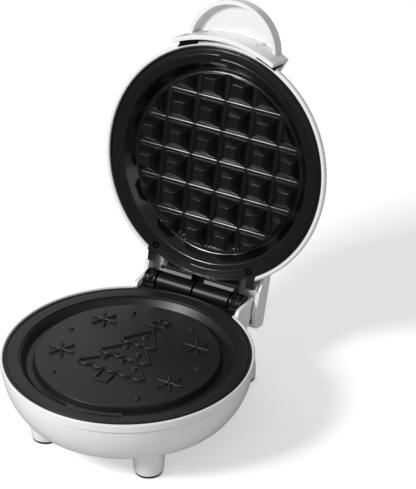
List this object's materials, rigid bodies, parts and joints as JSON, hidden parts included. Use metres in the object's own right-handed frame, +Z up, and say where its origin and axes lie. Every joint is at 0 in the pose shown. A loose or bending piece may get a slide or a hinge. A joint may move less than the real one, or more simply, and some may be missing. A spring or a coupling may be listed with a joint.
{
  "type": "mini waffle maker",
  "caption": "Small round hinged waffle maker on four legs, lid open, with a peg grid plate above a relief plate and a hollow half-round grip.",
  "frame": {"origin": "on the floor under the middle of the open object's bounding box", "axes": "+Z up, -Y towards the user's side, +Y towards the hinge, X across along the hinge pin"},
  "size_m": [0.1266, 0.1812, 0.1879],
  "materials": {
    "white_gloss": "smooth glossy",
    "black_coating": "satin non-stick coating",
    "black_plastic": "glossy",
    "pad_rubber": "matt",
    "element_steel": "heat-darkened",
    "sheet_steel": "plain",
    "sheet_aluminium": "plain",
    "screw_steel": "plain",
    "pale_plastic": "matt",
    "lead_sleeve": "glass-fibre sleeve"
  },
  "bodies": {
    "base": {"base_shell": "white_gloss", "base_rim": "white_gloss", "base_plate": "black_coating", "base_hinge_saddle": "black_plastic", "foot_pads": "pad_rubber", "cord_gland": "black_plastic", "base_element": "element_steel", "base_element_clamps": "sheet_steel", "base_heat_shield": "sheet_aluminium", "base_shield_screws": "screw_steel", "thermal_fuse": "sheet_steel", "fuse_clip": "sheet_steel", "base_screws": "screw_steel", "terminal_block": "pale_plastic", "base_leads": "lead_sleeve", "saddle_screws": "screw_steel", "hinge_pin": "screw_steel", "hinge_washers": "screw_steel"},
    "lid": {"lid_shell": "white_gloss", "lid_rim": "white_gloss", "lid_plate": "black_coating", "lid_hinge_bracket": "black_plastic", "bracket_screws": "screw_steel", "lid_screws": "screw_steel", "handle": "white_gloss", "handle_insert": "black_plastic", "handle_screws": "screw_steel", "lid_element": "element_steel", "lid_element_clamps": "sheet_steel", "lid_heat_shield": "sheet_aluminium", "lid_shield_screws": "screw_steel", "thermostat": "sheet_aluminium", "lid_leads": "lead_sleeve"}
  },
  "joints": [
    {"name": "lid_hinge", "type": "hinge", "parent": "base", "child": "lid", "pos_m": [0, 0.04081, 0.041], "axis": [1, 0, 0], "range_deg": [0, 104.1]}
  ]
}
